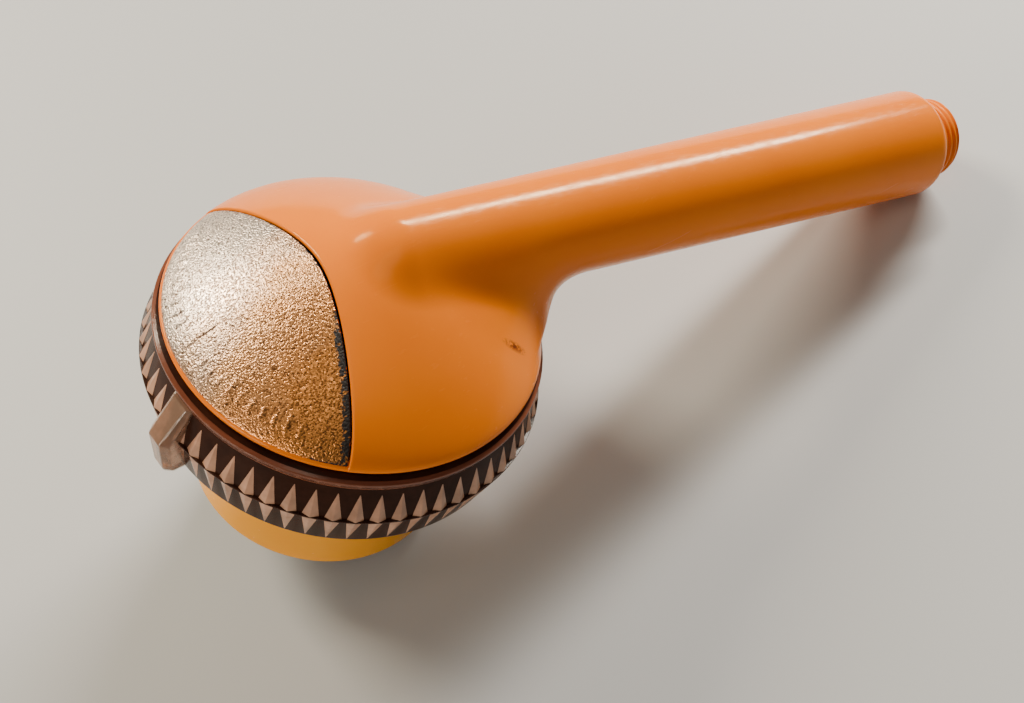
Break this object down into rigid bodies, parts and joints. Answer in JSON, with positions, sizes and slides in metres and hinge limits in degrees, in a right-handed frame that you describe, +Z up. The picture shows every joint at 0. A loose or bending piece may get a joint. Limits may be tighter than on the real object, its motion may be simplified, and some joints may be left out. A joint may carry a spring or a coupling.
{
  "type": "hand shower",
  "caption": "Hand-held shower head with a domed body, turning faceted selector ring, spray cup and hollow handle with a hose thread.",
  "frame": {"origin": "middle of the bounding box, on the surface that the shower lies on", "axes": "+X from the head towards the handle end along the ground, +Z up; the head axis leans 22.27 degrees from +Z towards +X"},
  "size_m": [0.2214, 0.0902, 0.0843],
  "materials": {
    "orange_shell": "glossy, injection moulded",
    "orange_cup": "glossy, injection moulded",
    "badge_metallised": "vacuum metallised plastic, worn, leather-grained",
    "smoky_ring": "clear smoky brown plastic, faceted",
    "inner_plastic": "black moulded plastic",
    "face_plastic": "dark grey moulded plastic",
    "insert_plastic": "brown moulded plastic",
    "rotor_plastic": "white moulded plastic",
    "tube_plastic": "white extruded plastic",
    "steel": "stainless",
    "brass": "turned",
    "rubber": "black sealing rubber"
  },
  "bodies": {
    "shower_head": {"body_shell": "orange_shell", "hose_nipple": "orange_shell", "spray_cup": "orange_cup", "screw_cap": "orange_cup", "badge_plate": "badge_metallised", "valve_housing": "inner_plastic", "spray_chassis": "inner_plastic", "swirl_plate": "inner_plastic", "spray_plate": "face_plastic", "massage_insert": "insert_plastic", "water_tube": "tube_plastic", "inlet_strainer": "steel", "housing_screws": "steel", "centre_screw": "steel", "detent_ball": "steel", "detent_spring": "steel", "turbine_sleeve": "brass", "tube_front_seal": "rubber", "tube_rear_seal": "rubber", "port_seals": "rubber", "post_seal": "rubber", "cup_seal": "rubber"},
    "ring": {"selector_ring": "smoky_ring", "selector_disc": "inner_plastic", "ring_screws": "steel"},
    "rotor": {"turbine": "rotor_plastic"}
  },
  "joints": [
    {"name": "ring_turn", "type": "hinge", "parent": "shower_head", "child": "ring", "pos_m": [-0.06371, 0, 0.04805], "axis": [0.379, 0, 0.9254], "range_deg": [-55, 35]},
    {"name": "turbine_spin", "type": "hinge", "parent": "shower_head", "child": "rotor", "pos_m": [-0.07395, 0, 0.02306], "axis": [0.379, 0, 0.9254], "continuous": true}
  ]
}
